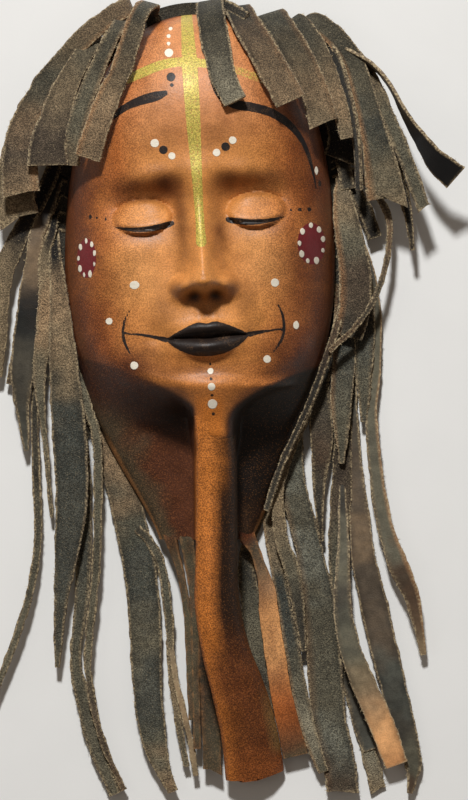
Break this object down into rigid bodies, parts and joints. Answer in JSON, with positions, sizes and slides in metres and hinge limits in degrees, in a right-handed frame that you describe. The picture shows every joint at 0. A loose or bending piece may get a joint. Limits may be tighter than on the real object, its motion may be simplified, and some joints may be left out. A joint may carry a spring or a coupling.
{
  "type": "leather wall mask",
  "caption": "Moulded leather face mask with closed eyes, a raised tongue of leather below the chin and suede hair strips on both sides, laid face up.",
  "frame": {"origin": "bottom centre of the bounding box: the plane that the back of the fringes' bands lies on", "axes": "+Z out of the face (face up as it lies), +Y to the top of the head, +X to the right as seen from the front"},
  "size_m": [0.2645, 0.4434, 0.0805],
  "materials": {
    "moulded_leather": "smooth waxed grain, painted",
    "hair_suede": "rough grey-green suede"
  },
  "bodies": {
    "root": {"face": "moulded_leather", "left_fringe": "hair_suede", "right_fringe": "hair_suede"}
  },
  "joints": []
}
